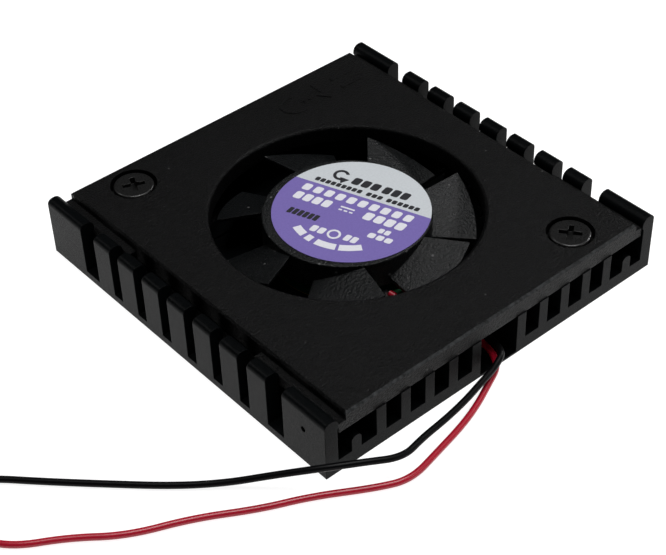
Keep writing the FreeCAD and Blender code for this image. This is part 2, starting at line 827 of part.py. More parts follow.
def impeller():
    """The hub, shaped as a cup, with seven swept blades that push air down as it turns to the left."""
    made = body("impeller")
    outer = N.hub_radius.value
    inner = N.yoke_radius.value
    low = N.yoke_from.value
    top = N.hub_top.value
    edge = N.hub_edge.value
    under = N.yoke_top.value
    room = N.insert_radius.value
    nick = edge * (1 - math.sqrt(0.5))
    profile = sketch(made, "Hub_profile", "XZ_Plane")
    outline(
        profile,
        [
            (inner, low),
            (outer, low),
            (outer, top - edge),
            (outer - nick, top - nick, "arc"),
            (outer - edge, top),
            (0, top),
            (0, N.shaft_to.value),
            (room, N.shaft_to.value),
            (room, under),
            (inner, under),
        ],
    )
    turn_profile(made, profile)
    doc.recompute()

    blade_low = N.blade_low.value
    sections = []
    for name, offset, lead, trail, low, sag in (
        ("Blade_root", 8.52, 2.85, -2.4, blade_low + N.blade_rise.value, -0.1),
        ("Blade_end", 13.9, 6.35, -2.9, blade_low, 0.3),
    ):
        section = sketch(made, name, "YZ_Plane", offset=offset)
        blade_section(section, lead, trail, low, sag)
        sections.append(section)
    blade = made.newObject("PartDesign::AdditiveLoft", "Blade")
    blade.Profile = sections[0]
    blade.Sections = [sections[1]]
    blade.Ruled = True
    doc.recompute()

    pattern = made.newObject("PartDesign::PolarPattern", "Blades")
    pattern.Originals = [blade]
    pattern.Axis = (profile, ["V_Axis"])
    pattern.Angle = TURN
    pattern.Occurrences = BLADES
    made.Tip = pattern
    doc.recompute()

    trim = sketch(made, "Tip_trim", offset=above)
    circle(trim, 0, 0, N.blade_tip)
    circle(trim, 0, 0, N.blade_tip + 4)
    cut(made, trim, above, refine=False)
    made.Placement.Rotation = FreeCAD.Rotation(V(0, 0, 1), BLADE_TURN)
    return made


# ---------------------------------------------------------------- the leads

# A lead's route starts at its solder joint, leaves through the notch and ends at the coil.
ROUTE_BLACK = [
    (-0.35, -9.35, 2.26),
    (0.2, -12.4, 1.75),
    (0.75, -15.6, 1.7),
    (1.15, -18.55, 1.75),
    (0.7, -21.25, 1.8),
    (-0.2, -23.25, 2.3),
    (-1.95, -23.85, 1.85),
    (-4.1, -24.35, 1.85),
    (-7.0, -25.05, 1.8),
    (-10.2, -25.6, 1.85),
    (-13.65, -26.0, 2.0),
    (-16.7, -26.7, 2.15),
    (-20.0, -25.05, 2.6),
    (-23.2, -23.2, 2.7),
    (-26.65, -19.9, 1.6),
    (-29.9, -17.0, 0.6),
    (-33.65, -13.8, 0.36),
    (-38.35, -9.15, 0.36),
    (-42.45, -5.0, 0.36),
    (-45.85, -1.35, 0.36),
    (-49.4, 0.8, 0.38),
    (-53.0, 2.66, 0.52),
]
ROUTE_RED = [
    (-2.35, -9.15, 2.27),
    (-1.6, -12.3, 1.75),
    (-0.75, -15.6, 1.7),
    (0.0, -18.4, 1.7),
    (0.15, -21.3, 1.15),
    (-0.85, -23.3, 1.0),
    (-3.0, -24.15, 0.65),
    (-5.8, -25.35, 0.42),
    (-8.85, -26.3, 0.36),
    (-12.65, -27.1, 0.36),
    (-16.9, -28.0, 0.36),
    (-20.05, -26.55, 0.36),
    (-25.1, -23.35, 0.36),
    (-29.5, -21.35, 0.36),
    (-34.7, -18.1, 0.36),
    (-40.3, -15.75, 0.36),
    (-44.35, -12.35, 0.36),
    (-48.85, -9.75, 0.36),
    (-50.9, -6.1, 0.36),
    (-51.5, -2.0, 0.42),
    (-53.0, 1.8, 0.54),
]


def coil_point(radius, degrees, height):
    angle = math.radians(degrees)
    return (
        N.coil_x.value + radius * math.cos(angle),
        N.coil_y.value + radius * math.sin(angle),
        height,
    )


def tangent(degrees):
    """The way a lead runs round the coil, counter-clockwise seen from above."""
    angle = math.radians(degrees)
    return V(-math.sin(angle), math.cos(angle), 0)


def lead_path(name, points):
    """Straight runs joined by tangent arcs, each as large as its two runs allow."""
    corners = [V(*p) for p in points]
    edges = []
    radii = []
    start = corners[0]
    for before, corner, after in zip(corners, corners[1:], corners[2:]):
        back = before - corner
        ahead = after - corner
        run = 0.45 * min(back.Length, ahead.Length)
        turn = math.pi - back.getAngle(ahead)
        radii.append(run / math.tan(turn / 2))
        back.normalize()
        ahead.normalize()
        first = corner + back * run
        last = corner + ahead * run
        inward = back + ahead
        inward.normalize()
        reach = radii[-1] / math.cos(turn / 2) - radii[-1]
        edges.append(Part.LineSegment(start, first).toShape())
        edges.append(Part.Arc(first, corner + inward * reach, last).toShape())
        start = last
    edges.append(Part.LineSegment(start, corners[-1]).toShape())
    print(name, "radii", " ".join(f"{r:.1f}" for r in radii))
    return Part.Wire(edges)


def lead(name, points):
    """A lead's tube along its route."""
    path = lead_path(name, points)
    along = path.Edges[0].tangentAt(path.Edges[0].FirstParameter)
    radius = N.lead_wide.value / 2
    section = Part.Wire(Part.Circle(V(*points[0]), along, radius).toShape())
    made = doc.addObject("Part::Feature", name)
    made.Shape = path.makePipeShell([section], True, False)
    expected = math.pi * radius**2 * path.Length
    print(name, f"length {path.Length:.2f} volume {made.Shape.Volume:.2f} expected {expected:.2f}")
    return made


def strand_radii():
    """The radii of the two leads in the coil: black outside, red inside."""
    middle = N.coil_middle.value
    step = N.lead_wide.value / 2 + STRAND_GAP
    return middle + step, middle - step


def coil_solid():
    """The coil's outer shape, with a short stub where each lead joins and leaves it."""
    wide = N.lead_wide
    outer = N.coil_middle + wide + COIL_GAP
    inner = N.coil_middle - wide - COIL_GAP
    low = N.coil_low
    whole = [ring("coil_ring", outer, inner, low, low + wide * 2 + COIL_GAP, N.coil_x, N.coil_y)]
    for name, degrees, way, height in (
        ("in", N.coil_in, -1, N.lower_turn),
        ("out", N.coil_out, 1, N.upper_turn),
    ):
        for colour, radius, length in zip(("black", "red"), strand_radii(), (N.stub_black, N.stub_red)):
            stub = doc.addObject("Part::Cylinder", f"stub_{name}_{colour}")
            bind(stub, Radius=wide / 2, Height=length)
            along = tangent(degrees.value) * way
            stub.Placement = FreeCAD.Placement(
                V(*coil_point(radius, degrees.value, height.value)),
                FreeCAD.Rotation(V(0, 0, 1), along),
            )
            whole.append(stub)
    return joined("lead_coil", whole)


def stub_end(radius, degrees, way, length, height):
    start = V(*coil_point(radius, degrees.value, height.value))
    return start + tangent(degrees.value) * way * length.value


def leads():
    """Two leads to the coil, two tails from the coil to the plug, and the tie."""
    black, red = strand_radii()
    pitch = N.plug_pitch.value / 2
    plug_x = plug_middle()
    plug_z = N.plug_high.value / 2
    for colour, route, radius, way, stub in (
        ("black", ROUTE_BLACK, black, -1, N.stub_black),
        ("red", ROUTE_RED, red, 1, N.stub_red),
    ):
        joint = stub_end(radius, N.coil_in, -1, stub, N.lower_turn)
        lead(f"lead_{colour}", [*route, tuple(joint)])
        tail = stub_end(radius, N.coil_out, 1, stub, N.upper_turn)
        end = V(plug_x + way * pitch, N.plug_back.value, plug_z)
        reach = (tail.y - end.y) * 0.3
        leaving = (tail.x, tail.y - reach, tail.z)
        arriving = (end.x, end.y + reach, end.z)
        lead(f"tail_{colour}", [tuple(tail), leaving, arriving, tuple(end)])
    tie()


def plug_middle():
    return N.coil_x.value - N.coil_middle.value


def tie():
    """A band round the coil's turns."""
    low = N.coil_low
    wide = N.lead_wide
    outer = N.coil_middle + wide + COIL_GAP
    inner = N.coil_middle - wide - COIL_GAP
    top = low + wide * 2 + COIL_GAP
    band = N.tie_thick
    solids = []
    for name, out, hole, z0, z1 in (
        ("tie_outside", outer + band, inner - band, low - band, top + band),
        ("tie_inside", outer, inner, low, top),
    ):
        disc = cylinder(name + "_disc", out, z0, z1, N.coil_x, N.coil_y)
        bind(disc, Angle=N.tie_wide)
        turned(disc, N.tie_at.value)
        middle = cylinder(name + "_hole", hole, z0 - clear, z1 + clear, N.coil_x, N.coil_y)
        solids.append(less(name, disc, middle))
    less("lead_tie", *solids)


def plug():
    """A two-way crimp housing with a window over each way, and the two terminals in it."""
    middle = size(plug_middle())
    wide = N.plug_wide / 2
    back = N.plug_back
    front = back - N.plug_long
    case = box("plug_case", middle - wide, middle + wide, front, back, 0, N.plug_high)
    rooms = []
    terminals = []
    mouth = N.way_half
    crimp = N.crimp_half
    spring = N.spring_half
    wire = N.lead_wide / 2
    axis = N.plug_high / 2
    shell_from = front + 3
    shell_to = back - 2
    for i, side in enumerate((-1, 1)):
        x = middle + N.plug_pitch / 2 * side
        rooms += [
            square_bar(f"way_{i}", x, axis, mouth, front - clear, shell_from),
            square_bar(f"room_{i}", x, axis, crimp, shell_from, shell_to),
            box(f"window_{i}", x - 0.5, x + 0.5, front + 4, front + 6.4, axis, N.plug_high + clear),
            cylinder_along(f"entry_{i}", wire, shell_to, back, x, axis),
        ]
        shell = square_bar(f"terminal_{i}_shell", x, axis, crimp, shell_from, shell_to)
        hollow = square_bar(f"terminal_{i}_hollow", x, axis, spring, front + 2, front + 9)
        wire_end = cylinder_along(f"terminal_{i}_wire", wire, shell_to, back, x, axis)
        terminals.append(joined(f"terminal_{i}", [less(f"terminal_{i}_box", shell, hollow), wire_end]))
    less("plug_housing", case, joined("plug_rooms", rooms))
    group("plug_terminals", terminals)


def square_bar(name, x, z, half_wide, y0, y1):
    """A square bar that lies along Y."""
    return box(name, x - half_wide, x + half_wide, y0, y1, z - half_wide, z + half_wide)


def cylinder_along(name, radius, y0, y1, x, z):
    """A cylinder that lies along Y."""
    made = doc.addObject("Part::Cylinder", name)
    bind(made, Radius=radius, Height=size(y1) - y0)
    made.Placement.Rotation = FreeCAD.Rotation(V(1, 0, 0), -90)
    return at(made, x, y0, z)


# ---------------------------------------------------------------- build, check and write

heatsink()
cover_plate()
group("cover_screws", [screw("screw_back", -1), screw("screw_front", 1)])
bearing()
board()
stator()
rotor_parts()
shaft()
impeller()
coil_solid()
leads()
plug()
doc.recompute()

NODES = [
    "heatsink",
    "cover_plate",
    "cover_screws",
    "insulating_film",
    "motor_board",
    "hall_driver_chip",
    "board_components",
    "solder_joints",
    "bearing_tube",
    "sleeve_bearing",
    "thrust_pad",
    "stator_laminations",
    "lower_former",
    "upper_former",
    *[f"winding_{i + 1}" for i in range(POLES)],
    "impeller",
    "rotor_yoke",
    "magnet_ring",
    "shaft",
    "shaft_insert",
    "retaining_clip",
    "oil_washer",
    "hub_label",
    "lead_black",
    "lead_red",
    "lead_coil",
    "lead_tie",
    "tail_black",
    "tail_red",
    "plug_housing",
    "plug_terminals",
]

for thing in doc.Objects:
    if "Invalid" in thing.State or "Error" in thing.State:
        raise RuntimeError(f"{thing.Name} is {thing.State}")

os.makedirs("parts", exist_ok=True)
for node in NODES:
    thing = doc.getObject(node)
    thing.Label = node
    shape = thing.Shape
    if shape.isNull() or not shape.isValid():
        raise RuntimeError(f"{node} isn't a valid shape")
    print(node, "solids", len(shape.Solids), f"volume {shape.Volume:.3f}")
    shape.exportStep(f"parts/{node}.step")
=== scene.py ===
"""Looks for a thin finned cooler with a fan in its middle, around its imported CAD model."""

import math

import bmesh
import bpy
from mathutils import Matrix, Vector


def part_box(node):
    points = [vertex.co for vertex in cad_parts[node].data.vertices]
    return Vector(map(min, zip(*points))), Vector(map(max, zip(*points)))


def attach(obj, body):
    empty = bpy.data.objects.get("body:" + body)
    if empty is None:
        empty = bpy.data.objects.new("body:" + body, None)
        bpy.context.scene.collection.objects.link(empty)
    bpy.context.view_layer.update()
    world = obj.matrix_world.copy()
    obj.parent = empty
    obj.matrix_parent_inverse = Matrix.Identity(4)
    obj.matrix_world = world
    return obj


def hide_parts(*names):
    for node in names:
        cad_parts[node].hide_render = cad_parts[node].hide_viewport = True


MM = 0.001
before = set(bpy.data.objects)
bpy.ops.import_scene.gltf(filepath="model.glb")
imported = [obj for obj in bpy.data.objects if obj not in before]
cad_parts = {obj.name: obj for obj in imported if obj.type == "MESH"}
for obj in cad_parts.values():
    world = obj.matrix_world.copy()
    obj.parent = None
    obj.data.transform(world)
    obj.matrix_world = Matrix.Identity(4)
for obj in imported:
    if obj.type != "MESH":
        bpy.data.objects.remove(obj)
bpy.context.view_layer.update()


# ---------------------------------------------------------------- camera and light

CAMERA_AZIMUTH = math.radians(-39.61)
CAMERA_ELEVATION = math.radians(40.988)
CAMERA_ROLL = math.radians(-2.107)
CAMERA_LENS = 87.476  # on a film 36 mm wide
CAMERA_RIGHT = -1.634 * MM  # from the body's origin, along the camera's own axes
CAMERA_UP = -2.156 * MM
CAMERA_BACK = 173.741 * MM
FLOOR_DROP = 0.02 * MM  # keeps the floor's face off the body's underside


def camera():
    """A long lens above the corner between the leads' side and the left wall."""
    azimuth = CAMERA_AZIMUTH
    elevation = CAMERA_ELEVATION
    roll = CAMERA_ROLL
    back = Vector(
        (
            math.sin(azimuth) * math.cos(elevation),
            -math.cos(azimuth) * math.cos(elevation),
            math.sin(elevation),
        )
    )
    level = Vector((math.cos(azimuth), math.sin(azimuth), 0))
    upright = back.cross(level)
    right = level * math.cos(roll) + upright * math.sin(roll)
    up = upright * math.cos(roll) - level * math.sin(roll)
    data = bpy.data.cameras.new("camera")
    data.sensor_width = 36
    data.lens = CAMERA_LENS
    data.clip_start = 0.005
    data.clip_end = 20
    made = bpy.data.objects.new("camera", data)
    made.location = right * CAMERA_RIGHT + up * CAMERA_UP + back * CAMERA_BACK
    made.rotation_mode = "QUATERNION"
    made.rotation_quaternion = Matrix((right, up, back)).transposed().to_quaternion()
    bpy.context.collection.objects.link(made)
    bpy.context.scene.camera = made


def area_light(name, place, size, power):
    """A round white light that faces the body."""
    data = bpy.data.lights.new(name, "AREA")
    data.shape = "DISK"
    data.size = size
    data.energy = power
    made = bpy.data.objects.new(name, data)
    made.location = place
    made.rotation_mode = "QUATERNION"
    made.rotation_quaternion = (-Vector(place)).to_track_quat("-Z", "Y")
    bpy.context.collection.objects.link(made)


def studio():
    """A bright white table under an overhead light, with small lights that pick out the edges."""
    world = bpy.data.worlds.new("studio")
    world.use_nodes = True
    world.node_tree.nodes["Background"].inputs["Color"].default_value = (1, 1, 1, 1)
    world.node_tree.nodes["Background"].inputs["Strength"].default_value = 0.05
    bpy.context.scene.world = world
    bpy.context.scene.view_settings.view_transform = "Standard"
    area_light("overhead", place=(0.05, -0.04, 0.6), size=0.36, power=2.6)
    area_light("front", place=(0.3, -0.48, 0.36), size=0.2, power=0.3)
    area_light("back", place=(-0.25, 0.44, 0.56), size=0.12, power=0.6)
    area_light("side", place=(0.6, -0.05, 0.4), size=0.12, power=1.6)

    bpy.ops.mesh.primitive_plane_add(size=3, location=(0, 0, -FLOOR_DROP))
    floor = bpy.context.object
    floor.name = "table"
    made, shader, _ = material("table_top", (0.3, 0.3, 0.3), 0.9, specular=0.1)
    shader.inputs["Emission Color"].default_value = (1, 1, 1, 1)
    shader.inputs["Emission Strength"].default_value = 0.9
    floor.data.materials.append(made)


# ---------------------------------------------------------------- materials

CHIP_AND_GLINT_GRAIN = 2500  # noise and wave scales, per metre
LABEL_GRAIN = 4500
INK_GRAIN = 9000
BRUSH_LINES = 900.0
WIRE_LINES = 1400.0
METAL_GRAIN = 0.12 * MM
EDGE_ROUND = 0.09 * MM
PAINT_DEPTH = 0.01 * MM
# lighter dots: dust specks on the plate, painted glints on the blades
SPECK_AND_GLINT_COLOUR = (0.09, 0.09, 0.09)
# the plate's front edge colour: wear, and a painted highlight where the edge catches light
WEAR_AND_HIGHLIGHT_COLOUR = (0.05, 0.053, 0.055)
WEAR_AND_HIGHLIGHT_IN = 0.24 * MM  # how far the plate's wear and painted edge highlight reach in from its front edge
WEAR_AND_HIGHLIGHT_DOWN = 0.36 * MM  # and down from its top


def material(name, colour, roughness, metallic=0.0, specular=0.5):
    """A material with one Principled shader, that shader and its node tree."""
    made = bpy.data.materials.new(name)
    made.use_nodes = True
    tree = made.node_tree
    shader = tree.nodes["Principled BSDF"]
    shader.inputs["Base Color"].default_value = (*colour, 1)
    shader.inputs["Roughness"].default_value = roughness
    shader.inputs["Metallic"].default_value = metallic
    shader.inputs["Specular IOR Level"].default_value = specular
    return made, shader, tree


def node(tree, kind, **values):
    """A node with its inputs set by name, or its properties where it has no such input."""
    made = tree.nodes.new(kind)
    for name, value in values.items():
        label = name.replace("_", " ").title()
        if label in made.inputs:
            made.inputs[label].default_value = value
        else:
            setattr(made, name, value)
    return made


def place_of(tree):
    """The point of the surface, in metres in the piece's own frame."""
    return node(tree, "ShaderNodeTexCoord").outputs["Object"]


def noise(tree, scale, detail=2.0, roughness=0.5):
    """Noise over the surface, from 0 to 1."""
    made = node(tree, "ShaderNodeTexNoise", scale=scale, detail=detail, roughness=roughness)
    tree.links.new(place_of(tree), made.inputs["Vector"])
    return made.outputs["Fac"]


def ramp(tree, source, stops):
    """A grey ramp, with stops as pairs of a place and a grey."""
    made = node(tree, "ShaderNodeValToRGB")
    while len(made.color_ramp.elements) < len(stops):
        made.color_ramp.elements.new(0.5)
    for element, (where, grey) in zip(made.color_ramp.elements, stops):
        element.position = where
        element.color = (grey, grey, grey, 1)
    tree.links.new(source, made.inputs["Fac"])
    return made.outputs["Color"]


def mixed(tree, share, first, second):
    """A mix of two colours, each a colour or a socket."""
    made = node(tree, "ShaderNodeMix", data_type="RGBA")
    tree.links.new(share, made.inputs["Factor"])
    # inputs 6 and 7 and output 2 are the node's colour sockets
    for socket, value in ((made.inputs[6], first), (made.inputs[7], second)):
        if isinstance(value, tuple):
            socket.default_value = (*value, 1)
        else:
            tree.links.new(value, socket)
    return made.outputs[2]


def calculated(tree, operation, first, second):
    """The result of a sum on two values, each a number or a socket."""
    made = node(tree, "ShaderNodeMath", operation=operation)
    for socket, value in zip(made.inputs, (first, second)):
        if isinstance(value, (int, float)):
            socket.default_value = value
        else:
            tree.links.new(value, socket)
    return made.outputs["Value"]


def axis_of(tree, name):
    """One coordinate of the surface's place, in metres."""
    split = node(tree, "ShaderNodeSeparateXYZ")
    tree.links.new(place_of(tree), split.inputs["Vector"])
    return split.outputs[name]


def bumpy(tree, shader, height, strength, distance, rounding=0.0):
    """Bump on a shader, over edges that are rounded off by a small radius."""
    bump = node(tree, "ShaderNodeBump", strength=strength, distance=distance)
    tree.links.new(height, bump.inputs["Height"])
    if rounding:
        bevel = node(tree, "ShaderNodeBevel", samples=6, radius=rounding)
        tree.links.new(bevel.outputs["Normal"], bump.inputs["Normal"])
    tree.links.new(bump.outputs["Normal"], shader.inputs["Normal"])


def specks(tree, cell, size, share):
    """A mask of small dots, in some of the cells of a grid of points."""
    cells = node(tree, "ShaderNodeTexVoronoi", scale=1 / cell)
    tree.links.new(place_of(tree), cells.inputs["Vector"])
    near = calculated(tree, "LESS_THAN", cells.outputs["Distance"], size / cell)
    split = node(tree, "ShaderNodeSeparateColor")
    tree.links.new(cells.outputs["Color"], split.inputs["Color"])
    chosen = calculated(tree, "LESS_THAN", split.outputs["Red"], share)
    return calculated(tree, "MULTIPLY", near, chosen)


def textured_black(name, colour, roughness, grain, depth, specular, speck_and_glint_share=0.0):
    """Black surfaces: a fine grain, uneven gloss and a few lighter dots, which are dust specks
    when sparse and painted glints when dense.
    """
    made, shader, tree = material(name, colour, roughness, specular=specular)
    fine = noise(tree, 1 / grain, 3.0, 0.6)
    cloud = noise(tree, 1 / (grain * 40), 2.0)
    darker = tuple(c * 0.4 for c in colour)
    lighter = tuple(c * 2.2 for c in colour)
    uneven = calculated(tree, "MULTIPLY", calculated(tree, "ADD", cloud, fine), 0.5)
    tint = mixed(tree, uneven, darker, lighter)
    if speck_and_glint_share:
        dots = specks(tree, grain * 4, grain * 0.5, speck_and_glint_share)
        tint = mixed(tree, dots, tint, SPECK_AND_GLINT_COLOUR)
    tree.links.new(tint, shader.inputs["Base Color"])
    gloss = ramp(tree, fine, [(0.3, roughness - 0.1), (0.7, roughness + 0.12)])
    tree.links.new(gloss, shader.inputs["Roughness"])
    bumpy(tree, shader, fine, 0.6, depth, rounding=EDGE_ROUND)
    return made, shader, tree, tint


def plate_black():
    """The cover plate's satin coating, with a lighter line along its front edge: wear, and a
    painted highlight on the edge.
    """
    made, shader, tree, tint = textured_black(
        "plate_black",
        (0.0008, 0.0008, 0.0009),
        roughness=0.37,
        grain=0.22 * MM,
        depth=0.32 * MM,
        specular=0.12,
        speck_and_glint_share=0.012,
    )
    low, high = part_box("cover_plate")
    # a lighter, broken line along the front top edge: wear, and a painted highlight
    front = calculated(tree, "LESS_THAN", axis_of(tree, "Y"), low.y + WEAR_AND_HIGHLIGHT_IN)
    upper = calculated(tree, "GREATER_THAN", axis_of(tree, "Z"), high.z - WEAR_AND_HIGHLIGHT_DOWN)
    chips_and_glints = ramp(tree, noise(tree, CHIP_AND_GLINT_GRAIN, 4.0), [(0.3, 0.0), (0.75, 1.0)])
    lighter_share = calculated(tree, "MULTIPLY", calculated(tree, "MULTIPLY", front, upper), chips_and_glints)
    tree.links.new(mixed(tree, lighter_share, tint, WEAR_AND_HIGHLIGHT_COLOUR), shader.inputs["Base Color"])
    return made


def metal(name, colour, roughness, scratched=False):
    """Bare or plated metal with a fine grain, brushed round the middle where it's scratched."""
    made, shader, tree = material(name, colour, roughness, metallic=1.0)
    fine = noise(tree, 1 / METAL_GRAIN, 3.0)
    if scratched:
        waves = node(tree, "ShaderNodeTexWave", scale=BRUSH_LINES, distortion=2.0)
        waves.wave_type = "RINGS"
        waves.rings_direction = "Z"
        tree.links.new(place_of(tree), waves.inputs["Vector"])
        fine = waves.outputs["Fac"]
    darker = tuple(c * 0.8 for c in colour)
    tree.links.new(mixed(tree, fine, darker, colour), shader.inputs["Base Color"])
    gloss = ramp(tree, fine, [(0.3, roughness - 0.08), (0.7, roughness + 0.1)])
    tree.links.new(gloss, shader.inputs["Roughness"])
    bumpy(tree, shader, fine, 0.3, PAINT_DEPTH)
    return made


def plastic(name, colour, roughness, grain=0.2 * MM, specular=0.5):
    """Moulded plastic, or soft insulation."""
    made, shader, tree = material(name, colour, roughness, specular=specular)
    fine = noise(tree, 1 / grain, 2.0)
    darker = tuple(c * 0.85 for c in colour)
    tree.links.new(mixed(tree, fine, darker, colour), shader.inputs["Base Color"])
    bumpy(tree, shader, fine, 0.4, PAINT_DEPTH)
    return made


def winding_copper():
    """Enamelled wire: fine turns side by side."""
    made, shader, tree = material("winding_copper", (0.6, 0.24, 0.09), 0.3, metallic=0.9)
    turns = node(tree, "ShaderNodeTexWave", scale=WIRE_LINES, distortion=0.3)
    turns.bands_direction = "DIAGONAL"
    tree.links.new(place_of(tree), turns.inputs["Vector"])
    shaded = mixed(tree, turns.outputs["Fac"], (0.25, 0.08, 0.03), (0.65, 0.27, 0.1))
    tree.links.new(shaded, shader.inputs["Base Color"])
    bumpy(tree, shader, turns.outputs["Fac"], 0.8, 0.05 * MM)
    return made


# ---------------------------------------------------------------- the label

LABEL_LOW, LABEL_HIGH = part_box("hub_label")
LABEL_MIDDLE = (LABEL_LOW + LABEL_HIGH) / 2
READING = Vector((0.349, -0.937, 0)).normalized()  # along the rows of print
UPWARDS = Vector((0.937, 0.349, 0)).normalized()
FIELD_EDGE = 2.48 * MM  # from the label's middle up to its silver part
INK_UNDER = -0.004 * MM
INK_OVER = 0.016 * MM
CORNER_SHARE = 0.28  # of a bar's shorter side
CORNER_STEPS = 4
WHITE_INK = (0.8, 0.8, 0.86)
BLACK_INK = (0.02, 0.02, 0.025)


def label_film():
    """Printed film: silver over the upper part, violet over the rest."""
    made, shader, tree = material("label_film", (0.5, 0.5, 0.5), 0.35)
    across = node(tree, "ShaderNodeVectorMath", operation="DOT_PRODUCT")
    tree.links.new(place_of(tree), across.inputs[0])
    across.inputs[1].default_value = UPWARDS
    edge = LABEL_MIDDLE.dot(UPWARDS) + FIELD_EDGE
    silver = calculated(tree, "GREATER_THAN", across.outputs["Value"], edge)
    fine = noise(tree, LABEL_GRAIN, 2.0)
    light = mixed(tree, fine, (0.5, 0.53, 0.55), (0.62, 0.65, 0.68))
    violet = mixed(tree, fine, (0.155, 0.115, 0.36), (0.205, 0.16, 0.45))
    tree.links.new(mixed(tree, silver, violet, light), shader.inputs["Base Color"])
    bumpy(tree, shader, fine, 0.15, PAINT_DEPTH)
    return made


def ink(name, colour):
    """Dry ink with a slightly uneven tone."""
    made, shader, tree = material(name, colour, 0.45)
    lighter_share = noise(tree, INK_GRAIN, 2.0)
    darker = tuple(c * 0.8 for c in colour)
    tree.links.new(mixed(tree, lighter_share, darker, colour), shader.inputs["Base Color"])
    return made


def label_point(along, up, height):
    """A point of the label's print, from its middle, in millimetres along its rows and up."""
    flat = LABEL_MIDDLE + READING * along * MM + UPWARDS * up * MM
    return Vector((flat.x, flat.y, LABEL_HIGH.z + height))


def slab(mesh, outline, inner=()):
    """A thin closed solid over an outline on the label, and round a hole if there is one."""
    rings = []
    for points in (outline, inner):
        if points:
            under = [mesh.verts.new(label_point(*p, INK_UNDER)) for p in points]
            over = [mesh.verts.new(label_point(*p, INK_OVER)) for p in points]
            rings.append((under, over))
    count = len(outline)
    if inner:
        for i in range(count):
            j = (i + 1) % count
            (a0, a1), (b0, b1) = rings
            mesh.faces.new((a1[i], a1[j], b1[j], b1[i]))
            mesh.faces.new((a0[j], a0[i], b0[i], b0[j]))
    else:
        mesh.faces.new(rings[0][1])
        mesh.faces.new(rings[0][0][::-1])
    for k, (bottom, top) in enumerate(rings):
        for i in range(count):
            j = (i + 1) % count
            side = (bottom[i], bottom[j], top[j], top[i])
            mesh.faces.new(side if k == 0 else side[::-1])


def bar(along0, along1, up0, up1, slant=0.0):
    """The outline of a bar with rounded corners, leaning forward by a slant."""
    radius = min(along1 - along0, up1 - up0) * CORNER_SHARE
    middles = (
        (along1 - radius, up1 - radius),
        (along0 + radius, up1 - radius),
        (along0 + radius, up0 + radius),
        (along1 - radius, up0 + radius),
    )
    points = []
    for corner, (x, y) in enumerate(middles):
        for step in range(CORNER_STEPS + 1):
            angle = math.radians(90 * corner + 90 / CORNER_STEPS * step)
            px = x + radius * math.cos(angle)
            py = y + radius * math.sin(angle)
            points.append((px + slant * (py - up0), py))
    return points


def arc_band(middle, inner, outer, start, end, steps=16):
    """The outline of a curved band, from one angle to another in degrees."""
    angles = [math.radians(start + (end - start) * i / steps) for i in range(steps + 1)]
    there = [(middle[0] + outer * math.cos(a), middle[1] + outer * math.sin(a)) for a in angles]
    again = [(middle[0] + inner * math.cos(a), middle[1] + inner * math.sin(a)) for a in angles]
    return there + again[::-1]


def circle(middle, radius):
    """The outline of a round, as points all the way about it."""
    steps = 32
    turn = [2 * math.pi * i / steps for i in range(steps)]
    return [(middle[0] + radius * math.cos(a), middle[1] + radius * math.sin(a)) for a in turn]


def printed(name, colour, outlines, rings=()):
    """One piece of print: closed solids that ride with the rotor.

    Each outline is a list of points, in millimetres from the label's middle along its rows and
    up. Each ring is a middle with an inner and an outer radius.
    """
    mesh = bmesh.new()
    for outline in outlines:
        slab(mesh, outline)
    for middle, inner, outer in rings:
        slab(mesh, circle(middle, outer), circle(middle, inner))
    bmesh.ops.recalc_face_normals(mesh, faces=mesh.faces)
    data = bpy.data.meshes.new(name)
    mesh.to_mesh(data)
    mesh.free()
    data.materials.append(colour)
    made = bpy.data.objects.new(name, data)
    bpy.context.collection.objects.link(made)
    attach(made, "rotor")


def blocks(start, end, count, up0, up1, share=0.8, slant=0.12):
    """A row of equal blocks that stands for a word."""
    pitch = (end - start) / (count - 1 + share)
    return [
        bar(start + pitch * i, start + pitch * (i + share), up0, up1, slant) for i in range(count)
    ]


def label_print():
    """The print: rows of plain blocks, a turning arrow and the sign for direct current.

    The numbers are places on the label in millimetres from its middle, along its rows and up.
    """
    white = ink("white_ink", WHITE_INK)
    black = ink("black_ink", BLACK_INK)
    turning = (-3.8, 4.85)
    arrow = arc_band(turning, 0.55, 0.9, 30, 300)
    head = [(-3.25, 3.55), (-2.62, 4.45), (-3.75, 4.5)]
    printed(
        "label_heading",
        black,
        [arrow, head, *blocks(-2.3, 0.9, 3, 4.0, 5.2), *blocks(1.35, 4.4, 3, 4.0, 5.2)],
    )
    printed(
        "label_small_row",
        black,
        [
            *blocks(-6.05, -0.5, 9, 2.88, 3.5),
            *blocks(0.1, 1.95, 3, 2.88, 3.5),
            *blocks(2.5, 6.3, 6, 2.88, 3.5),
        ],
    )
    printed("label_code_row", white, blocks(-6.6, 6.35, 10, 0.88, 2.0, share=0.68))
    dashes = [bar(x, x + 0.4, -0.52, -0.3) for x in (-1.3, -0.68, -0.05)]
    direct = [bar(-1.3, 0.35, -0.02, 0.2), *dashes]
    printed(
        "label_rating_row",
        white,
        [*blocks(-6.75, -2.45, 4, -0.8, 0.42), *direct, *blocks(1.55, 6.25, 4, -0.75, 0.5)],
    )
    printed("label_stamp", black, blocks(-6.05, -2.5, 6, -3.28, -2.3))
    words = [
        arc_band((0, 0), 5.75, 6.65, start, end, steps=6)
        for start, end in ((232, 246), (250, 257), (262, 283), (286, 308))
    ]
    printed(
        "label_marks",
        white,
        [
            *blocks(4.05, 5.35, 2, -2.05, -1.3),
            *blocks(3.4, 6.1, 3, -3.15, -2.35),
            *blocks(-2.45, -0.85, 2, -4.85, -3.85),
            *blocks(1.4, 2.85, 2, -4.7, -3.7),
            *words,
        ],
        rings=[((0.25, -4.3), 0.5, 0.75)],
    )


# ---------------------------------------------------------------- the leads

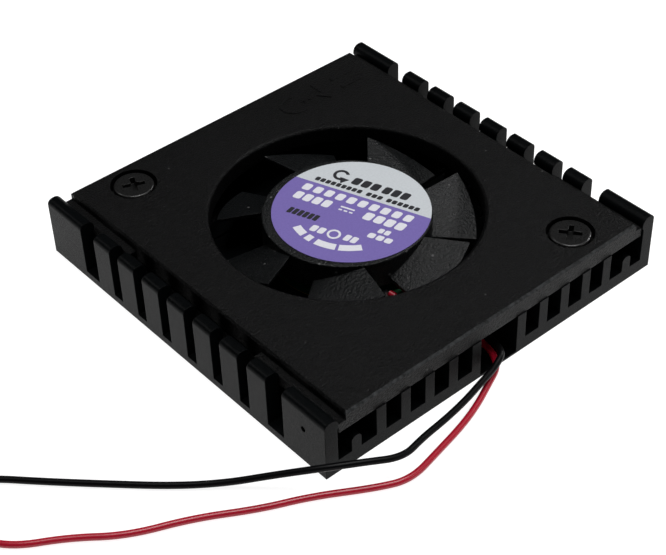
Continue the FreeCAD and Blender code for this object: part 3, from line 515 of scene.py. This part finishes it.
# All lengths here are in millimetres and all angles in degrees.
LEAD = 0.7  # outside diameter of a lead
COIL = (-60.5, 2.15)  # middle of the coil
COIL_RADII = {"black": 4.21, "red": 3.49}
STUBS = {"black": 2.65, "red": 3.5}  # from the coil's middle to where a lead leaves it
COIL_IN = 60  # the angle at which the leads join the coil
COIL_TURN = 480  # and how far they go round
COIL_STEP = 24
LOWER_TURN = 0.62  # height of the first turn's middle line
UPPER_TURN = 1.32
CLIMB_FROM = 255  # the angles between which the lead rises to the upper turn
CLIMB_TO = 345
PLUG_PITCH = 2.54
TAIL_SHARE = 0.3  # of the way from coil to plug, over which a tail stays straight
# The points that each lead's spline is pulled towards, from the board to the coil.
ROUTES = {
    "black": [
        (-0.35, -9.35, 2.26),
        (0.2, -12.4, 1.75),
        (0.75, -15.6, 1.7),
        (1.15, -18.55, 1.75),
        (0.7, -21.25, 1.8),
        (-0.2, -23.25, 2.3),
        (-1.95, -23.85, 1.85),
        (-4.1, -24.35, 1.85),
        (-7.0, -25.05, 1.8),
        (-10.2, -25.6, 1.85),
        (-13.65, -26.0, 2.0),
        (-16.7, -26.7, 2.15),
        (-20.0, -25.05, 2.6),
        (-23.2, -23.2, 2.7),
        (-26.65, -19.9, 1.6),
        (-29.9, -17.0, 0.6),
        (-33.65, -13.8, 0.36),
        (-38.35, -9.15, 0.36),
        (-42.45, -5.0, 0.36),
        (-45.85, -1.35, 0.36),
        (-49.4, 0.8, 0.38),
        (-53.0, 2.66, 0.52),
    ],
    "red": [
        (-2.35, -9.15, 2.27),
        (-1.6, -12.3, 1.75),
        (-0.75, -15.6, 1.7),
        (0.0, -18.4, 1.7),
        (0.15, -21.3, 1.15),
        (-0.85, -23.3, 1.0),
        (-3.0, -24.15, 0.65),
        (-5.8, -25.35, 0.42),
        (-8.85, -26.3, 0.36),
        (-12.65, -27.1, 0.36),
        (-16.9, -28.0, 0.36),
        (-20.05, -26.55, 0.36),
        (-25.1, -23.35, 0.36),
        (-29.5, -21.35, 0.36),
        (-34.7, -18.1, 0.36),
        (-40.3, -15.75, 0.36),
        (-44.35, -12.35, 0.36),
        (-48.85, -9.75, 0.36),
        (-50.9, -6.1, 0.36),
        (-51.5, -2.0, 0.42),
        (-53.0, 1.8, 0.54),
    ],
}


def coil_points(radius):
    """The coil's turns, each corner outside the round so that the spline has the stated radius."""
    points = []
    reach = radius / math.cos(math.radians(COIL_STEP / 2))
    for gone in range(COIL_STEP // 2, COIL_TURN, COIL_STEP):
        angle = math.radians(COIL_IN + gone)
        climbed = (COIL_IN + gone - CLIMB_FROM) / (CLIMB_TO - CLIMB_FROM)
        climbed = min(max(climbed, 0.0), 1.0)
        points.append(
            (
                COIL[0] + reach * math.cos(angle),
                COIL[1] + reach * math.sin(angle),
                LOWER_TURN + (UPPER_TURN - LOWER_TURN) * climbed,
            )
        )
    return points


def tail_points(colour, radius):
    """From the coil to the back of the plug."""
    low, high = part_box("plug_housing")
    side = -1 if colour == "black" else 1
    back = high.y / MM
    end_x = (low.x + high.x) / 2 / MM + side * PLUG_PITCH / 2
    end_z = (low.z + high.z) / 2 / MM
    leave = COIL[1] - STUBS[colour]
    reach = (leave - back) * TAIL_SHARE
    start_x = COIL[0] - radius
    return [
        (start_x, leave - reach, UPPER_TURN),
        (end_x, back + reach, end_z),
        (end_x, back, end_z),
    ]


def lead(colour, finish, parts):
    """One lead from the board to the plug, on one smooth line."""
    radius = COIL_RADII[colour]
    points = ROUTES[colour] + coil_points(radius) + tail_points(colour, radius)
    data = bpy.data.curves.new(f"lead_{colour}_cord", "CURVE")
    data.dimensions = "3D"
    spline = data.splines.new("NURBS")
    spline.points.add(len(points) - 1)
    for point, place in zip(spline.points, points):
        point.co = (*(c * MM for c in place), 1)
    spline.order_u = 3
    spline.use_endpoint_u = True
    data.bevel_depth = LEAD / 2 * MM
    data.bevel_resolution = 6
    data.resolution_u = 8
    data.use_fill_caps = True
    data.materials.append(finish)
    made = bpy.data.objects.new(f"lead_{colour}_cord", data)
    bpy.context.collection.objects.link(made)
    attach(made, "housing")
    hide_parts(*parts)


def leads():
    """Both leads with their insulation, and the pieces at their far end."""
    black = plastic("lead_black_vinyl", (0.002, 0.002, 0.0024), 0.35, grain=0.5 * MM, specular=0.1)
    red = plastic("lead_red_vinyl", (0.42, 0.004, 0.022), 0.3, grain=0.5 * MM)
    lead("black", black, ["lead_black", "tail_black", "lead_coil"])
    lead("red", red, ["lead_red", "tail_red"])


# ---------------------------------------------------------------- finishes of the CAD nodes


def fin_black():
    """Satin anodised aluminium."""
    return textured_black(
        "fin_black",
        (0.0007, 0.001, 0.0012),
        roughness=0.38,
        grain=0.14 * MM,
        depth=0.04 * MM,
        specular=0.06,
    )[0]


def blade_black():
    """Coarsely textured moulded plastic, with dense lighter dots as painted glints on its texture.
    """
    return textured_black(
        "blade_black",
        (0.0012, 0.0016, 0.0018),
        roughness=0.36,
        grain=0.28 * MM,
        depth=0.3 * MM,
        specular=0.26,
        # dense lighter dots: painted glints on the coarse texture
        speck_and_glint_share=0.3,
    )[0]


def screw_black():
    """Black plated steel."""
    return textured_black(
        "screw_black",
        (0.004, 0.004, 0.004),
        roughness=0.32,
        grain=0.2 * MM,
        depth=0.02 * MM,
        specular=0.4,
    )[0]


def finish_nodes():
    """Put a finish on every CAD node that is shown as it is."""
    anodised = fin_black()
    blades = blade_black()
    screws = screw_black()
    brass = metal("turned_brass", (0.7, 0.5, 0.2), 0.3)
    nylon = plastic("natural_nylon", (0.75, 0.74, 0.68), 0.5)
    finishes = {
        "heatsink": anodised,
        "cover_plate": plate_black(),
        "cover_screws": screws,
        "impeller": blades,
        "hub_label": label_film(),
        "insulating_film": plastic("amber_film", (0.6, 0.36, 0.06), 0.3),
        "motor_board": plastic("green_board", (0.01, 0.12, 0.04), 0.4),
        "hall_driver_chip": plastic("chip_case", (0.015, 0.015, 0.015), 0.55),
        "board_components": plastic("ceramic_chip", (0.35, 0.24, 0.14), 0.5),
        "solder_joints": metal("solder", (0.6, 0.6, 0.6), 0.25),
        "bearing_tube": brass,
        "sleeve_bearing": metal("oiled_bronze", (0.5, 0.3, 0.13), 0.4),
        "thrust_pad": nylon,
        "retaining_clip": nylon,
        "lower_former": nylon,
        "upper_former": nylon,
        "stator_laminations": metal("core_steel", (0.35, 0.35, 0.37), 0.4),
        "rotor_yoke": metal("zinc_steel", (0.6, 0.6, 0.62), 0.3),
        "magnet_ring": plastic("bonded_magnet", (0.035, 0.033, 0.032), 0.6),
        "shaft": metal("ground_steel", (0.7, 0.7, 0.72), 0.15, scratched=True),
        "shaft_insert": brass,
        "oil_washer": plastic("washer_black", (0.03, 0.03, 0.03), 0.5),
        "lead_tie": plastic("tie_black", (0.015, 0.015, 0.015), 0.45),
        "plug_housing": plastic("plug_nylon", (0.02, 0.02, 0.02), 0.45),
        "plug_terminals": metal("tinned_bronze", (0.7, 0.66, 0.55), 0.3),
    }
    copper = winding_copper()
    for name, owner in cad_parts.items():
        finish = copper if name.startswith("winding") else finishes.get(name)
        if finish:
            owner.data.materials.clear()
            owner.data.materials.append(finish)


camera()
leads()
studio()
finish_nodes()
label_print()
